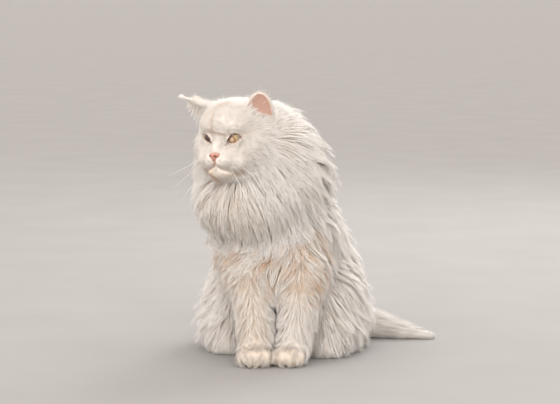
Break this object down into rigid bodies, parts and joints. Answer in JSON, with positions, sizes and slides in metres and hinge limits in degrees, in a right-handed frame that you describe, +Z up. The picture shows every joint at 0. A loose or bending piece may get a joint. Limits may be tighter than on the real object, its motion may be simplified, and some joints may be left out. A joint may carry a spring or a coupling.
{
  "type": "persian cat model",
  "caption": "Life-size model of a long-haired Persian cat sitting upright, head turned to its right, tail laid out along the floor.",
  "frame": {"origin": "on the floor, at the middle of the flat that the sitting cat rests on", "axes": "+Z up; the body faces -Y and its left side is +X"},
  "size_m": [0.3043, 0.2986, 0.3536],
  "materials": {
    "coat": "long soft fur, warm white",
    "leather": "damp skin, salmon pink",
    "eye": "wet gloss, gold-green"
  },
  "bodies": {
    "root": {"eye_left": "eye", "eye_right": "eye", "nose": "leather", "head": "coat", "ear_left": "coat", "ear_right": "coat", "forepaw_left": "coat", "forepaw_right": "coat", "foreleg_left": "coat", "foreleg_right": "coat", "hind_paw_left": "coat", "hind_paw_right": "coat", "mane": "coat", "haunch_left": "coat", "haunch_right": "coat", "trunk": "coat", "tail_base": "coat", "tail_end": "coat"}
  },
  "joints": []
}
